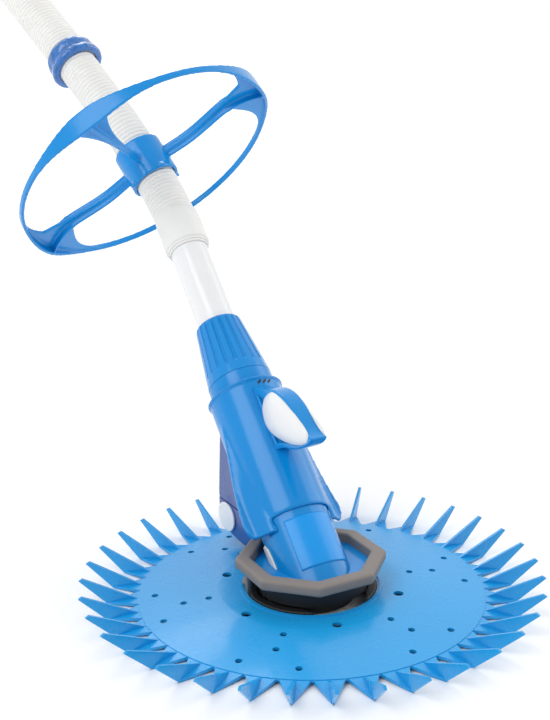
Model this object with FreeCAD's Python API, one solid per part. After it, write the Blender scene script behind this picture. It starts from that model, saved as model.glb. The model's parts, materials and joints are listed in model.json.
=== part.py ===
"""Suction-side automatic pool cleaner: finned disc, foot pad, inclined head, pipe, leader hose.

Millimetres, +Z up.  The origin is on the floor, in the middle of the disc.  The nose points to -Y
and the tube leans back to +Y.  Everything on the tube is drawn about a local Z axis, with local
-Y facing up and forward, and then leaned back by place_on_tube().
"""
import FreeCAD
import Part
import math
import os
from FreeCAD import Placement, Rotation, Vector

os.makedirs("parts", exist_ok=True)

# ---- finned disc -------------------------------------------------------------------------
fin_count = 36
fin_tip_radius = 203.0
fin_root_radius = 154.7
fin_rise = 19.7            # of the tips above the rim of the disc
fin_thickness = 2.4
fin_phase = 6.0            # degrees, of the first fin
petal_tip_radius = 177.0
petal_tip_width = 3.0
petal_overlap = 1.8        # of a petal's root into the rim of the sheet
petal_gap = 0.5            # between the roots of two petals
petal_step = 0.4           # of a petal's root below the top of the rim
disc_rim_radius = 152.0
disc_rim_height = 5.5      # top of the sheet at the rim, above the floor
disc_thickness = 2.5
dome_rise = 5.0            # of the sheet beside the bearing, above the rim
dome_radius = 82.0
ridge_radius = 61.5
ridge_height = 1.0
ridge_width = 2.6
big_hole_radius = 4.4
big_hole_circle = 78.0
small_hole_radius = 3.0
small_hole_places = [(92.0, 0.0), (114.0, 0.0), (137.5, 10.2), (137.5, -10.2)]
hole_phase = 16.6

# ---- foot pad, base plate and what hangs under them ------------------------------------------
lip_circumradius = 67.0
lip_width = 12.5
lip_bottom = 29.5
lip_height = 10.0
lip_round = 2.6
collar_radius = 57.9       # the disc turns on this
collar_wall = 7.9
bearing_clearance = 0.4
flange_overhang = 8.5
flange_thickness = 3.0
lug_overhang = 3.0
lug_thickness = 2.0
lug_width = 12.0
lug_angles = [30.0, 90.0, 150.0]
plate_thickness = 3.5
plate_bore = 24.5
throat_radius = 38.0
throat_wall = 3.4
ballast_bottom = 13.0
seat_gap = 0.2             # between pieces that are pushed together
screw_places = [(28.0, -6.0), (28.0, 14.0), (-28.0, -6.0), (-28.0, 14.0)]
screw_radius = 1.25
screw_head_radius = 2.8
screw_head_height = 1.8     # sunk flush into the plate, so that the throat stays clear
screw_head_room = 0.2
boss_radius = 3.0
boss_height = 12.0

# ---- inclined tube of the head -----------------------------------------------------------
lean = 45.0                # degrees, of the tube from the vertical
axis_height = 27.5         # where the tube's axis crosses the disc's axis
shell_radius = 32.3
shell_wall = 2.5
neck_start = 176.0
neck_radius = 30.9
seam = 190.0               # lower edge of the hand nut
thread_radius = 27.4
thread_length = 8.0
thread_pitch = 4.0
thread_clearance = 0.35
neck_bore = 25.0

# ---- cowl, wings and hood -----------------------------------------------------------------
cowl_clearance = 0.3
cowl_wall = 2.4
cowl_start = 44.0
cowl_flange_radius = 36.8
cowl_flange = 3.0
wing_thickness = 5.0
wing_tilt = 7.5
wing_outer = 46.5
wing_low = 34.0
wing_high = 150.0
wing_lift = 4.0
wing_round = 4.0
hood_half_width = 8.0
hood_web = 3.0
hood_rim = 6.0
hood_round = 2.5
pad_bulge = 6.0

# ---- rear fairing and heel -----------------------------------------------------------------
rear_half_width = 22.0
rear_wall = 2.5
rear_bottom = 17.5
rear_back = 147.0
rear_front = 66.0
heel_top = 48.0
rear_peak = 122.0
rear_round = 6.0
oval_centre = (124.0, 34.0)
oval_radii = (17.0, 14.0)
oval_thickness = 2.0

# ---- cassette, diaphragm, pipes and nut ----------------------------------------------------
cassette_radius = 24.7
cassette_wall = 2.0
cassette_start = 31.0
cassette_seat = 6.0
cassette_seat_bore = 18.0
rim_radius = 26.5
rim_thickness = 2.0
seal_thickness = 1.2
diaphragm_length = 68.0
diaphragm_mouth = 19.4
diaphragm_waist = 12.0
diaphragm_wall = 2.2
retainer_height = 7.0
inner_pipe_radius = 14.0
inner_pipe_wall = 1.8
inner_pipe_length = 225.0
spacer_height = 5.0
pipe_radius = 18.8
pipe_wall = 1.9
pipe_end = 374.0
pipe_flange_radius = 25.5
pipe_flange = 2.5
ring_radius = 24.5
ring_height = 4.5
ring_slip = 0.1
nut_base_radius = 31.0
nut_top_radius = 22.4
nut_length = 66.0
nut_wall = 2.5
nut_round = 2.2
nut_band = 9.0
nut_ribs = 20
nut_groove_width = 2.2
nut_groove_depth = 1.3
running_clearance = 0.5
nut_turns = 1.5            # to undo the nut from its thread

# ---- hose, cuffs, wheel and weight ---------------------------------------------------------
hose_radius = 21.3
hose_wall = 1.7
cuff_start = 345.0
cuff_length = 43.0
cuff_radius = 22.8
cuff_rim_radius = 20.4
cuff_rim = 5.0
cuff_lining = 30.0
pipe_fit = 0.1
hose_fit = 0.1
cuff_flare = 0.5             # of the cuff's mouth, where the hose starts to bend
first_run = 50.5
hose_steps = [(-10.8, 40.3, 43.1), (-20.0, 51.2, 58.2), (-36.0, 110.3, 95.1), (-36.7, 111.5, 93.3)]
upper_cuff_cover = 45.0
upper_cuff_lip = 8.0
socket_radius = 20.8       # mouth that takes the next hose section
wheel_corner = 2           # of the hose, where the wheel's hub sits
wheel_radius = 145.0
wheel_rim = 4.0
wheel_band = 6.0
wheel_tall_band = 16.0
wheel_tall_angle = 22.0
spoke_angles = [142.0, 232.0, 322.0]   # the fourth quarter is open
spoke_width = 7.0
spoke_height = 13.0
hub_radius = 25.6
hub_length = 42.0
hub_clearance = 0.6
clip_radius = 22.9
clip_length = 20.0
clip_gap = 0.35
weight_distance = 78.0     # along the fourth run, from its start
weight_radius = 30.0
weight_length = 24.0
weight_waist = 2.5         # how far the waist above the ridge lies inside the ridge
weight_skin = 1.8          # coat over the core

ORIGIN = Vector(0, 0, 0)
UP = Vector(0, 0, 1)
tube_axis = Vector(0, math.sin(math.radians(lean)), math.cos(math.radians(lean)))
tube_foot = Vector(0, 0, axis_height)
tube_place = Placement(tube_foot, Rotation(Vector(1, 0, 0), -lean))


def place_on_tube(shape):
    """Lean a shape drawn about local Z back onto the tube's axis."""
    moved = shape.copy()
    moved.Placement = tube_place.multiply(moved.Placement)
    return moved


def place_along(shape, point, direction):
    """Stand a shape drawn about local Z at a point, along a direction."""
    moved = shape.copy()
    moved.Placement = Placement(point, Rotation(UP, direction)).multiply(moved.Placement)
    return moved


def turned(points):
    """Solid of revolution about Z from (radius, height) points."""
    wire = Part.makePolygon([Vector(r, 0, z) for r, z in points + points[:1]])
    return Part.Face(wire).revolve(ORIGIN, UP, 360)


def ring(outer, inner, low, high):
    return turned([(inner, low), (outer, low), (outer, high), (inner, high)])


def rod(radius, low, high, x=0.0, y=0.0):
    return Part.makeCylinder(radius, high - low, Vector(x, y, low))


def octagon(apothem, low, high):
    """Octagonal prism with a flat to the front."""
    corner = apothem / math.cos(math.radians(22.5))
    spots = []
    for k in range(9):
        a = math.radians(22.5 + 45 * k)
        spots.append(Vector(corner * math.cos(a), corner * math.sin(a), low))
    return Part.Face(Part.makePolygon(spots)).extrude(Vector(0, 0, high - low))


def side_plate(points, low, high):
    """Prism of a (y, z) outline between two values of x."""
    wire = Part.makePolygon([Vector(low, y, z) for y, z in points + points[:1]])
    return Part.Face(wire).extrude(Vector(high - low, 0, 0))


def side_curve(lines, low, high):
    """Prism between two values of x; each line is a list of (y, z) points on one smooth curve."""
    edges = []
    for points in lines:
        spots = [Vector(low, y, z) for y, z in points]
        if len(spots) == 2:
            edges.append(Part.makeLine(spots[0], spots[1]))
        else:
            curve = Part.BSplineCurve()
            curve.interpolate(spots)
            edges.append(curve.toShape())
    return Part.Face(Part.Wire(edges)).extrude(Vector(high - low, 0, 0))


def mirrored(shape):
    return shape.mirror(ORIGIN, Vector(1, 0, 0))


def rounded(shape, radius, pick):
    return shape.makeFillet(radius, [e for e in shape.Edges if pick(e)])


def save(name, shape):
    """Write one node; a group of separate pieces stays a compound."""
    solids = shape.Solids
    body = solids[0] if len(solids) == 1 else Part.makeCompound(solids)
    body.exportStep("parts/" + name + ".step")
    box = body.BoundBox
    print("%-22s solids %2d  volume %9.0f  valid %s  z %.1f to %.1f" % (
        name, len(solids), body.Volume, body.isValid(), box.ZMin, box.ZMax))
    return body


# ---- finned disc ---------------------------------------------------------------------------
dome_top = disc_rim_height + dome_rise
hub_bore = collar_radius + bearing_clearance


def finned_disc():
    t = disc_thickness
    half = ridge_width / 2
    outline = [
        (hub_bore, dome_top - t), (dome_radius, dome_top - t), (disc_rim_radius, disc_rim_height - t),
        (disc_rim_radius, disc_rim_height), (dome_radius, dome_top),
        (ridge_radius + half, dome_top), (ridge_radius + half, dome_top + ridge_height),
        (ridge_radius - half, dome_top + ridge_height), (ridge_radius - half, dome_top),
        (hub_bore, dome_top)]
    sheet = turned(outline)
    root = disc_rim_radius - petal_overlap
    spread = root * math.tan(math.radians(180.0 / fin_count)) - petal_gap / 2
    root_top = disc_rim_height - petal_step
    top = [Vector(root, -spread, root_top), Vector(root, spread, root_top),
           Vector(petal_tip_radius, petal_tip_width / 2, t), Vector(petal_tip_radius, -petal_tip_width / 2, t)]
    petal = Part.Face(Part.makePolygon(top + top[:1])).extrude(Vector(0, 0, -t))
    fin_points = [(fin_root_radius - 5, disc_rim_height - 1.5), (fin_root_radius, disc_rim_height),
                  (fin_tip_radius - 3, disc_rim_height + fin_rise), (fin_tip_radius, disc_rim_height + fin_rise - 2),
                  (petal_tip_radius + 1.5, 0.4), (petal_tip_radius - 3, 0.8)]
    wire = Part.makePolygon([Vector(r, -fin_thickness / 2, z) for r, z in fin_points + fin_points[:1]])
    fin = Part.Face(wire).extrude(Vector(0, fin_thickness, 0))
    blade = petal.fuse(fin)
    blades = []
    for k in range(fin_count):
        one = blade.copy()
        one.rotate(ORIGIN, UP, fin_phase + 360.0 / fin_count * k)
        blades.append(one)
    disc = sheet.multiFuse(blades)
    cutters = []
    for k in range(6):
        a = hole_phase + 60 * k
        cutters.append(polar_rod(big_hole_radius, big_hole_circle, a))
        for r, offset in small_hole_places:
            cutters.append(polar_rod(small_hole_radius, r, a + 30 + offset))
    return disc.cut(Part.makeCompound(cutters))


def polar_rod(radius, circle, angle):
    a = math.radians(angle)
    return rod(radius, 0, dome_top + 10, circle * math.cos(a), circle * math.sin(a))


# ---- foot pad and base ---------------------------------------------------------------------
lip_apothem = lip_circumradius * math.cos(math.radians(22.5))
lip_inner = lip_apothem - lip_width
lip_top = lip_bottom + lip_height
collar_bore = collar_radius - collar_wall
collar_top = lip_bottom       # the wall under the lip ends here, and the plate's octagon begins
plate_bottom = lip_bottom - 2.0
plate_top = plate_bottom + plate_thickness
lug_low = dome_top + ridge_height + 0.8
tube_keepout = place_on_tube(rod(shell_radius + cowl_clearance + cowl_wall + seat_gap, -80, 140))


def foot_pad():
    lip = octagon(lip_apothem, lip_bottom, lip_top)
    lip = rounded(lip, lip_round, lambda e: True)
    lip = lip.cut(octagon(lip_inner, lip_bottom - 1, lip_top + 1))
    collar = ring(collar_radius, collar_bore, 0, lug_low)
    flange = ring(collar_radius + flange_overhang, collar_bore, 0, flange_thickness)
    wall = ring(collar_radius, collar_bore, lug_low, collar_top)
    back_half = Part.makeBox(200, 100, 60, Vector(-100, 4, 0))
    wall = wall.common(back_half)
    pieces = [collar, flange, wall]
    for angle in lug_angles:
        lug = Part.makeBox(lug_overhang + 2, lug_width, lug_thickness,
                           Vector(collar_radius - 2, -lug_width / 2, lug_low))
        lug.rotate(ORIGIN, UP, angle)
        pieces.append(lug)
    pad = lip.multiFuse(pieces)
    return pad.cut(tube_keepout)


def base_plate():
    plate = octagon(lip_inner - seat_gap, collar_top, plate_top)
    plate = plate.fuse(rod(collar_bore - seat_gap, plate_bottom, collar_top))
    plate = plate.cut(rod(plate_bore, 0, 60))
    for x, y in screw_places:
        plate = plate.cut(rod(screw_radius, 0, 60, x, y))
        plate = plate.cut(rod(screw_head_radius + screw_head_room, 0, plate_bottom + screw_head_height, x, y))
    return plate.cut(place_on_tube(rod(cassette_radius + 1, 0, 140)))


def inlet_throat():
    return ring(throat_radius, throat_radius - throat_wall, flange_thickness / 2, plate_bottom)


def ballast_ring():
    return ring(collar_bore - seat_gap, throat_radius + seat_gap, ballast_bottom, plate_bottom)


def base_screws():
    made = []
    for x, y in screw_places:
        shank = rod(screw_radius, plate_bottom, plate_top + boss_height - 2, x, y)
        head = rod(screw_head_radius, plate_bottom, plate_bottom + screw_head_height, x, y)
        made.append(shank.fuse(head).removeSplitter())
    return made


# ---- head shell ------------------------------------------------------------------------------
shell_bore = shell_radius - shell_wall
thread_end = seam + thread_length


def body_shell():
    shell = turned([
        (shell_bore, -80), (shell_radius, -80), (shell_radius, neck_start), (neck_radius, neck_start),
        (neck_radius, seam - seat_gap), (thread_radius, seam - seat_gap), (thread_radius, thread_end),
        (neck_bore, thread_end), (neck_bore, neck_start - 6), (shell_bore, neck_start - 10)])
    shell = place_on_tube(shell)
    below = Part.makeBox(400, 400, 200, Vector(-200, -200, plate_top - 200))
    shell = shell.cut(below)
    outside = place_on_tube(rod(shell_radius - 1, -80, 140))
    for x, y in screw_places:
        boss = rod(boss_radius, plate_top, plate_top + boss_height, x, y).common(outside)
        shell = shell.fuse(boss).cut(rod(screw_radius, 0, plate_top + boss_height - 2, x, y))
    return shell


def nose_pad():
    """White ribbed grip on the left side of the nose."""
    skin = place_on_tube(ring(shell_radius + 1.6, shell_radius, -80, 80))
    outline = [(1, plate_top), (30, plate_top), (31, plate_top + 7), (24, plate_top + 14),
               (17, plate_top + 13), (9, plate_top + 7.5)]
    return skin.common(side_plate(outline, -60, -5))


# ---- cowl with wings ---------------------------------------------------------------------------
cowl_bore = shell_radius + cowl_clearance
cowl_radius = cowl_bore + cowl_wall


def wing():
    """Left wing on local axes: a flat fin that widens towards the nose."""
    low = wing_low - wing_high
    spots = [(-25, 0), (-cowl_radius, 0), (-wing_outer, low + 14), (-wing_outer + 1, low + 6), (-42, low),
             (-25, low - 4)]
    wire = Part.makePolygon([Vector(x, 0, z) for x, z in spots + spots[:1]])
    fin = Part.Face(wire).extrude(Vector(0, wing_thickness, 0))
    fin.rotate(ORIGIN, Vector(1, 0, 0), -wing_tilt)
    fin.translate(Vector(0, -wing_lift, wing_high))
    return fin


def cowl():
    sleeve = turned([
        (cowl_bore, cowl_start), (cowl_radius - 0.8, cowl_start), (cowl_radius, cowl_start + 2),
        (cowl_radius, neck_start - cowl_flange), (cowl_flange_radius, neck_start - cowl_flange + 0.6),
        (cowl_flange_radius, neck_start), (cowl_bore, neck_start)])
    left = wing()
    skin = sleeve.multiFuse([left, mirrored(left)])
    skin = skin.cut(rod(cowl_bore, -20, neck_start + 5))
    return place_on_tube(skin)


# ---- hood and its pads -----------------------------------------------------------------------
# outline on local axes: (-y, z) = (height over the tube's axis, distance along the tube)
hood_back = [(cowl_radius - 1.5, 168.0), (46.8, 156.5), (71.4, 140.4), (82.6, 125.6), (89.1, 106.6),
             (93.6, 87.1), (100.7, 75.2)]
hood_under = [(100.7, 75.2), (92.9, 74.5), (79.9, 78.0), (62.4, 85.5), (48.0, 95.0), (cowl_radius - 1.5, 100.0)]


def hood_prism(half_width):
    lines = [[(-n, t) for n, t in hood_back], [(-n, t) for n, t in hood_under]]
    lines.append([lines[1][-1], lines[0][0]])
    return side_curve(lines, -half_width, half_width)


def hood_pocket_face(x):
    """Inner outline of the hood, where its pads sit, in the plane of a given x."""
    inner_back = [(cowl_radius + 3, 158.0), (45.0, 147.5), (64.0, 134.5), (76.0, 119.5), (82.5, 102.0), (86.5, 86.0)]
    inner_under = [(86.5, 86.0), (81.0, 82.5), (66.0, 89.5), (52.0, 98.5), (cowl_radius + 3, 105.0)]
    lines = [[(-n, t) for n, t in inner_back], [(-n, t) for n, t in inner_under]]
    lines.append([lines[1][-1], lines[0][0]])
    edges = []
    for points in lines:
        spots = [Vector(x, y, z) for y, z in points]
        if len(spots) == 2:
            edges.append(Part.makeLine(spots[0], spots[1]))
        else:
            curve = Part.BSplineCurve()
            curve.interpolate(spots)
            edges.append(curve.toShape())
    return Part.Face(Part.Wire(edges))


def hood():
    body = hood_prism(hood_half_width)
    for side in (-1, 1):
        pocket = hood_pocket_face(side * hood_web).extrude(Vector(side * 20, 0, 0))
        body = body.cut(pocket)
    body = body.cut(rod(cowl_radius, 0, 200))
    return place_on_tube(body)


def hood_pad():
    """White convex pad in the left pocket of the hood."""
    block = hood_pocket_face(-hood_web).extrude(Vector(-20, 0, 0))
    crown = Part.makeSphere(58.0, Vector(58.0 - hood_half_width - pad_bulge, -60.0, 116.0))
    return place_on_tube(block.common(crown))


# ---- rear fairing and heel -------------------------------------------------------------------
def rear_prism(half_width, inset):
    outline = [(rear_front + inset, rear_bottom + inset), (rear_back - 22, rear_bottom + inset),
               (rear_back - 6 - inset, rear_bottom + 5 + inset), (rear_back - inset, rear_bottom + 16 + inset),
               (rear_back - inset, heel_top + 8), (rear_back - 7 - inset, rear_peak), (100, 100),
               (rear_front + inset, 60)]
    return side_plate(outline, -half_width, half_width)


def rear_shell():
    solid = rear_prism(rear_half_width, 0)
    upright = [e for e in solid.Edges if abs(e.Vertexes[0].X) == rear_half_width
               and e.Vertexes[0].X == e.Vertexes[-1].X and e.CenterOfMass.y > rear_back - 30]
    solid = solid.makeFillet(rear_round, upright)
    solid = solid.cut(rear_prism(rear_half_width - rear_wall, rear_wall))
    return solid.cut(place_on_tube(rod(cowl_radius + seat_gap, -80, 200)))


def rear_fairing(shell):
    return shell.common(Part.makeBox(200, 200, 200, Vector(-100, 0, heel_top + seat_gap)))


def rear_heel(shell):
    low = shell.common(Part.makeBox(200, 200, heel_top, Vector(-100, 0, 0)))
    return low


def heel_oval():
    """Pale oval button on the left of the heel."""
    y, z = oval_centre
    disc = Part.makeCylinder(1.0, oval_thickness, Vector(0, 0, 0), Vector(-1, 0, 0))
    stretch = FreeCAD.Matrix()
    stretch.scale(1.0, oval_radii[0], oval_radii[1])
    oval = disc.transformGeometry(stretch)
    oval.translate(Vector(-rear_half_width, y, z))
    return oval


# ---- cassette, diaphragm, pipes ------------------------------------------------------------------
cassette_bore = cassette_radius - cassette_wall
seat_top = cassette_start + cassette_seat
diaphragm_top = seat_top + diaphragm_length
stack_seal = thread_end + rim_thickness
stack_pipe = stack_seal + seal_thickness
stack_ring = stack_pipe + pipe_flange
stack_nut = stack_ring + ring_height
pipe_bore = pipe_radius - pipe_wall


def cassette_housing():
    return turned([
        (cassette_seat_bore, cassette_start), (cassette_radius, cassette_start), (cassette_radius, thread_end),
        (rim_radius, thread_end), (rim_radius, stack_seal), (cassette_bore, stack_seal),
        (cassette_bore, seat_top), (cassette_seat_bore, seat_top)])


def retaining_ring():
    return ring(cassette_bore - seat_gap, diaphragm_mouth + seat_gap, seat_top, seat_top + retainer_height)


def diaphragm():
    """Rubber tube, wide at its mouth and pinched at its waist."""
    low = seat_top
    high = diaphragm_top
    waist = (low + high) / 2
    w = diaphragm_wall
    top = inner_pipe_radius + 2.4
    return turned([
        (diaphragm_mouth - w, low), (diaphragm_mouth, low), (diaphragm_mouth, low + 8),
        (diaphragm_waist + 3, low + 20), (diaphragm_waist, waist), (diaphragm_waist + 1.5, high - 18), (top, high - 6),
        (top, high), (top - w, high), (top - w, high - 5), (diaphragm_waist + 1.5 - w, high - 18),
        (diaphragm_waist - w, waist), (diaphragm_waist + 3 - w, low + 20), (diaphragm_mouth - w, low + 8)])


def inner_pipe():
    bore = inner_pipe_radius - inner_pipe_wall
    tube = ring(inner_pipe_radius, bore, diaphragm_top, diaphragm_top + inner_pipe_length)
    foot = ring(cassette_bore - seat_gap, bore, diaphragm_top, diaphragm_top + spacer_height)
    slots = [Part.makeCylinder(2.6, 40, Vector(18.4 * math.cos(a), 18.4 * math.sin(a), diaphragm_top - 10))
             for a in [math.radians(45 * k) for k in range(8)]]
    guide = ring(pipe_bore - seat_gap, bore, stack_ring + 20, stack_ring + 20 + spacer_height)
    foot = foot.cut(Part.makeCompound(slots))
    return tube.multiFuse([foot, guide])


def outer_pipe():
    return turned([
        (pipe_bore, stack_pipe), (pipe_flange_radius, stack_pipe), (pipe_flange_radius, stack_ring),
        (pipe_radius, stack_ring), (pipe_radius, pipe_end), (pipe_bore, pipe_end)])


def compression_ring():
    bore = pipe_radius + running_clearance
    low = stack_ring + ring_slip
    high = stack_nut - ring_slip
    return turned([(bore, low), (ring_radius, low), (ring_radius - 1.2, high), (bore, high)])


def nut_radius(t):
    share = (t - seam) / nut_length
    return nut_base_radius + (nut_top_radius - nut_base_radius) * share


def hand_nut():
    bore = pipe_radius + running_clearance
    top = seam + nut_length
    grip = nut_wall
    shoulder = stack_nut + 3.0
    body = turned([
        (thread_radius + thread_clearance, seam), (nut_radius(seam), seam), (nut_radius(top - nut_round), top - nut_round),
        (nut_radius(top) - nut_round, top), (bore, top), (bore, top - grip),
        (nut_radius(top - grip) - grip, top - grip), (nut_radius(shoulder) - grip, shoulder),
        (bore, shoulder), (bore, stack_nut), (nut_radius(stack_nut) - grip, stack_nut),
        (thread_radius + thread_clearance, stack_seal)])
    slope = math.degrees(math.atan2(nut_base_radius - nut_top_radius, nut_length))
    length = nut_length - nut_band
    groove = Part.makeBox(nut_groove_depth * 2, nut_groove_width, length,
                          Vector(-nut_groove_depth, -nut_groove_width / 2, 0))
    groove.rotate(ORIGIN, Vector(0, 1, 0), -slope)
    groove.translate(Vector(nut_radius(seam + nut_band), 0, seam + nut_band))
    grooves = []
    for k in range(nut_ribs):
        one = groove.copy()
        one.rotate(ORIGIN, UP, 360.0 / nut_ribs * k)
        grooves.append(one)
    return body.cut(Part.makeCompound(grooves))


# ---- hose ------------------------------------------------------------------------------------
def on_axis(t):
    return tube_foot + tube_axis * t


hose_start = cuff_start + 2.5
route = [on_axis(hose_start), on_axis(hose_start + first_run)]
for step in hose_steps:
    route.append(route[-1] + Vector(*step))


def corner_arc(i):
    """Begin, middle, end, middle tangent, radius and turn of the tangent arc at one corner."""
    before = route[i] - route[i - 1]
    after = route[i + 1] - route[i]
    back = 0.45 * min(before.Length, after.Length)
    a = before.normalize()
    b = after.normalize()
    half_turn = a.getAngle(b) / 2
    radius = back / math.tan(half_turn)
    inward = (b - a).normalize()
    centre = route[i] + inward * (radius / math.cos(half_turn))
    middle = centre - inward * radius
    return route[i] - a * back, middle, route[i] + b * back, (a + b).normalize(), radius, 2 * half_turn


def hose_wire():
    """Straight runs joined by tangent arcs, each as large as its two runs allow."""
    edges = []
    last = route[0]
    for i in range(1, len(route) - 1):
        begin, middle, end, tangent, radius, turn = corner_arc(i)
        print("hose corner %d: radius %.0f mm, turn %.1f degrees" % (i, radius, math.degrees(turn)))
        edges.append(Part.makeLine(last, begin))
        edges.append(Part.Arc(begin, middle, end).toShape())
        last = end
    edges.append(Part.makeLine(last, route[-1]))
    return Part.Wire(edges)


def swept(wire, radius):
    circle = Part.Wire(Part.makeCircle(radius, route[0], tube_axis))
    return wire.makePipeShell([circle], True, False)


def leader_hose():
    wire = hose_wire()
    tube = swept(wire, hose_radius).cut(swept(wire, hose_radius - hose_wall))
    section = math.pi * (hose_radius ** 2 - (hose_radius - hose_wall) ** 2)
    print("hose length %.1f mm, volume over section x length %.4f" % (wire.Length, tube.Volume / (section * wire.Length)))
    return tube


def cuff_profile():
    """Lower cuff, from its rim at height zero: an outer sleeve over the hose and a lining in it."""
    lining = pipe_radius + pipe_fit
    sleeve = hose_radius + hose_fit
    lining_outer = hose_radius - hose_wall - hose_fit
    floor = hose_start - cuff_start
    return turned([
        (lining, 0), (cuff_rim_radius, 0), (cuff_rim_radius, cuff_rim - 1), (cuff_radius, cuff_rim + 1),
        (cuff_radius, cuff_length - 6), (sleeve + cuff_flare + 0.3, cuff_length), (sleeve + cuff_flare, cuff_length),
        (sleeve, cuff_length - 14), (sleeve, floor),
        (lining_outer, floor), (lining_outer, cuff_lining), (lining, cuff_lining)])


def lower_cuff():
    return cuff_profile()


def upper_cuff():
    """Upper cuff, drawn from its hose side up; the next hose pushes into its mouth."""
    sleeve = hose_radius + hose_fit
    high = upper_cuff_cover + upper_cuff_lip
    return turned([
        (sleeve, 0), (sleeve + 0.5, 0), (cuff_radius, 6), (cuff_radius, high), (socket_radius, high),
        (socket_radius, upper_cuff_cover), (sleeve, upper_cuff_cover)])


# ---- wheel and weight ------------------------------------------------------------------------
wheel_arc = corner_arc(wheel_corner)
wheel_centre = wheel_arc[1]
wheel_axis = wheel_arc[3]
weight_axis = (route[4] - route[3]).normalize()
weight_centre = route[3] + weight_axis * weight_distance
end_axis = (route[-1] - route[-2]).normalize()
groove_radius = clip_radius + clip_gap
hub_bore_radius = hose_radius + hub_clearance


def wheel():
    """Deflector wheel about local Z: rim, three spokes that flare into it, and a hub."""
    inner = wheel_radius - wheel_rim
    rim = ring(wheel_radius, inner, -wheel_band / 2, wheel_band / 2)
    tall = ring(wheel_radius, inner, -wheel_tall_band / 2, wheel_tall_band / 2)
    pieces = []
    for angle in spoke_angles:
        wedge = Part.makeCylinder(wheel_radius + 5, wheel_tall_band, Vector(0, 0, -wheel_tall_band / 2), UP,
                                  2 * wheel_tall_angle)
        wedge.rotate(ORIGIN, UP, angle - wheel_tall_angle)
        spoke = Part.makeBox(inner + 1 - hub_radius + 2, spoke_width, spoke_height,
                             Vector(hub_radius - 2, -spoke_width / 2, -spoke_height / 2))
        spoke.rotate(ORIGIN, UP, angle)
        pieces.append(tall.common(wedge))
        pieces.append(spoke)
        for side in (-1, 1):
            gusset = [Vector(inner - 34, 0, 0), Vector(inner + 1, 0, 0), Vector(inner - 5, side * 34, 0),
                      Vector(inner - 34, 0, 0)]
            web = Part.Face(Part.makePolygon(gusset)).extrude(Vector(0, 0, 4.0))
            web.translate(Vector(0, 0, -2.0))
            web.rotate(ORIGIN, UP, angle)
            pieces.append(web)
    half = hub_length / 2
    slot = clip_length / 2 + clip_gap
    hub = turned([
        (hub_bore_radius, -half), (hub_radius, -half), (hub_radius, half), (hub_bore_radius, half),
        (hub_bore_radius, slot), (groove_radius, slot), (groove_radius, -slot), (hub_bore_radius, -slot)])
    return rim.multiFuse(pieces + [hub])


def hub_clips():
    """Two half rings that grip the hose inside the hub."""
    whole = ring(clip_radius, hose_radius + hose_fit, -clip_length / 2, clip_length / 2)
    halves = []
    for side in (-1, 1):
        half = Part.makeBox(80, 40, 80, Vector(-40, 0.4 if side > 0 else -40.4, -40))
        halves.append(whole.common(half))
    return Part.makeCompound(halves)


def weight_cover():
    bore = hose_radius + hub_clearance
    half = weight_length / 2
    r = weight_radius
    skin = turned([
        (bore, -half), (r - 4, -half), (r - 0.8, -half + 1.5), (r, -half + 4), (r - 0.8, -half + 6.5),
        (r - weight_waist, -half + 8.5), (r - 2, half - 9), (r - weight_waist, half - 4), (r - 4.5, half - 1),
        (r - 6, half), (bore, half)])
    return skin.cut(weight_core())


def weight_core():
    bore = hose_radius + hub_clearance + weight_skin
    half = weight_length / 2 - 2 * weight_skin
    r = weight_radius - weight_waist - weight_skin
    return turned([(bore, -half), (r, -half), (r, half - 3), (bore + 1, half)])


# ---- write every node -------------------------------------------------------------------------
save("finned_disc", finned_disc())
save("foot_pad", foot_pad())
save("base_plate", base_plate())
save("inlet_throat", inlet_throat())
save("ballast_ring", ballast_ring())
save("base_screws", Part.makeCompound(base_screws()))
save("body_shell", body_shell())
save("nose_pad_left", nose_pad())
save("nose_pad_right", mirrored(nose_pad()))
save("cowl", cowl())
save("hood", hood())
save("hood_pad_left", hood_pad())
save("hood_pad_right", mirrored(hood_pad()))
rear = rear_shell()
save("rear_fairing", rear_fairing(rear))
save("rear_heel", rear_heel(rear))
save("heel_oval_left", heel_oval())
save("heel_oval_right", mirrored(heel_oval()))
save("cassette_housing", place_on_tube(cassette_housing()))
save("retaining_ring", place_on_tube(retaining_ring()))
save("diaphragm", place_on_tube(diaphragm()))
save("inner_pipe", place_on_tube(inner_pipe()))
save("neck_seal", place_on_tube(ring(rim_radius, cassette_bore, stack_seal, stack_pipe)))
save("outer_pipe", place_on_tube(outer_pipe()))
save("compression_ring", place_on_tube(compression_ring()))
save("hand_nut", place_on_tube(hand_nut()))
save("lower_cuff", place_along(lower_cuff(), on_axis(cuff_start), tube_axis))
save("leader_hose", leader_hose())
save("upper_cuff", place_along(upper_cuff(), route[-1] - end_axis * upper_cuff_cover, end_axis))
save("deflector_wheel", place_along(wheel(), wheel_centre, wheel_axis))
save("hub_clips", place_along(hub_clips(), wheel_centre, wheel_axis))
save("weight_cover", place_along(weight_cover(), weight_centre, weight_axis))
save("weight_core", place_along(weight_core(), weight_centre, weight_axis))

print("tube axis", tuple(round(v, 5) for v in tube_axis), "cuff rim", tuple(round(v, 2) for v in on_axis(cuff_start)))
print("wheel centre", tuple(round(v, 2) for v in wheel_centre), "axis", tuple(round(v, 5) for v in wheel_axis))
print("nut lift over its range %.2f mm" % (thread_pitch * nut_turns))
for point in route:
    print("route", tuple(round(v, 2) for v in point))
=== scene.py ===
"""Looks of a pool cleaner: ribbed hose, moulded shells, wheel, weight, finishes and stage."""
import json
import math

import bmesh
import bpy
from bpy.props import FloatProperty, FloatVectorProperty, PointerProperty
from mathutils import Matrix, Vector, noise


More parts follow.
